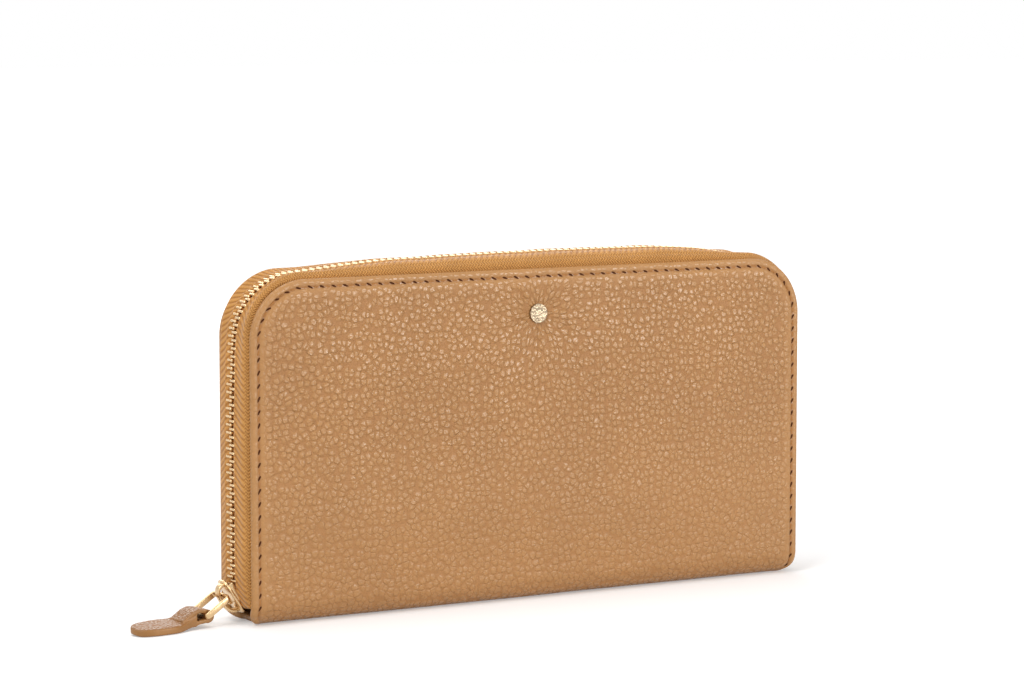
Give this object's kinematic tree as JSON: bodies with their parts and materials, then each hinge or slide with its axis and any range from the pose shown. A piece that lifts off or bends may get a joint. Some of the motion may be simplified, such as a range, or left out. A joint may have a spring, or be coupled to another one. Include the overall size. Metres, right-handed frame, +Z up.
{
  "type": "zip around wallet",
  "caption": "Long leather wallet that zips round three sides, stands on its folded spine and opens as a V, with card pockets, a coin purse, a stud and a leather pull.",
  "frame": {"origin": "centre of the folded spine, on the surface that the wallet stands on", "axes": "+X along the wallet, away from the slider; -Y out of the front cover that carries the stud; +Z up from the spine"},
  "size_m": [0.2326, 0.0243, 0.108],
  "materials": {
    "grain_leather": "tan pebbled cowhide with a soft sheen, smoother on the turned edge",
    "pocket_leather": "thin smooth tan leather",
    "lining": "tan twill lining cloth",
    "board": "grey-brown fibreboard, hidden between leather and lining",
    "zip_tape": "orange-tan woven herringbone tape",
    "zip_metal": "polished pale gold plate",
    "stud_metal": "pale gold with a hammered face",
    "thread": "twisted tan thread",
    "edge_paint": "smooth painted leather edge"
  },
  "bodies": {
    "core": {"spine_leather": "grain_leather", "spine_stiffener": "board", "spine_lining": "lining", "purse_front_wall": "lining", "purse_rear_wall": "lining", "purse_base": "lining", "purse_end_left": "lining", "purse_end_right": "lining", "coin_front_tape": "zip_tape", "coin_rear_tape": "zip_tape", "coin_front_teeth": "zip_metal", "coin_rear_teeth": "zip_metal", "front_gusset_left": "lining", "front_gusset_right": "lining", "rear_gusset_left": "lining", "rear_gusset_right": "lining"},
    "front_half": {"front_cover_leather": "grain_leather", "front_board": "board", "front_interlining": "board", "front_lining": "lining", "front_zip_tape": "zip_tape", "front_zip_teeth_left": "zip_metal", "front_zip_teeth": "zip_metal", "front_zip_stop": "zip_metal", "front_card_pocket_1": "pocket_leather", "front_card_pocket_2": "pocket_leather", "front_card_pocket_3": "pocket_leather", "front_card_pocket_4": "pocket_leather", "front_edge_stitching": "thread", "stud_cap": "stud_metal", "stud_backplate": "zip_metal"},
    "rear_half": {"rear_cover_leather": "grain_leather", "rear_board": "board", "rear_interlining": "board", "rear_lining": "lining", "rear_zip_tape": "zip_tape", "rear_zip_teeth_left": "zip_metal", "rear_zip_teeth": "zip_metal", "rear_zip_stop": "zip_metal", "zip_bottom_stop": "zip_metal", "rear_card_pocket_1": "pocket_leather", "rear_card_pocket_2": "pocket_leather", "rear_card_pocket_3": "pocket_leather", "rear_card_pocket_4": "pocket_leather", "rear_edge_stitching": "thread"},
    "zip_slider": {"slider_body": "zip_metal", "slider_bail": "zip_metal"},
    "ring": {"pull_ring": "zip_metal"},
    "tab": {"pull_tab": "grain_leather"},
    "coin_slider_body": {"coin_slider": "zip_metal"},
    "coin_pull_tab": {"coin_pull": "zip_metal"}
  },
  "joints": [
    {"name": "front_cover_fold", "type": "hinge", "parent": "core", "child": "front_half", "pos_m": [0, -0.0115, 0.0075], "axis": [1, 0, 0], "range_deg": [0, 35], "deforming": ["front_gusset_left", "front_gusset_right"]},
    {"name": "rear_cover_fold", "type": "hinge", "parent": "core", "child": "rear_half", "pos_m": [0, 0.0115, 0.0075], "axis": [1, 0, 0], "range_deg": [-35, 0], "deforming": ["rear_gusset_left", "rear_gusset_right"]},
    {"name": "zip_slider_run", "type": "slide", "parent": "rear_half", "child": "zip_slider", "axis": [0, 0, 1], "range_m": [0, 0.066], "deforming": ["front_zip_teeth_left", "rear_zip_teeth_left"]},
    {"name": "pull_ring_swing", "type": "hinge", "parent": "zip_slider", "child": "ring", "pos_m": [-0.10332, 0, 0.00839], "axis": [-0.0698, 0.9976, 0], "range_deg": [-45, 60]},
    {"name": "pull_tab_swing", "type": "hinge", "parent": "ring", "child": "tab", "pos_m": [-0.11, -0.00047, 0.004], "axis": [-0.0698, 0.9976, 0], "range_deg": [-45, 25]},
    {"name": "coin_slider_run", "type": "slide", "parent": "core", "child": "coin_slider_body", "axis": [1, 0, 0], "range_m": [0, 0.144], "deforming": ["coin_front_teeth", "coin_rear_teeth"]},
    {"name": "coin_pull_swing", "type": "hinge", "parent": "coin_slider_body", "child": "coin_pull_tab", "pos_m": [-0.07305, 0, 0.08646], "axis": [0, -1, 0], "range_deg": [0, 160]}
  ],
  "couplings": [
    {"joint": "rear_cover_fold", "follows": "front_cover_fold", "ratio": -1}
  ]
}
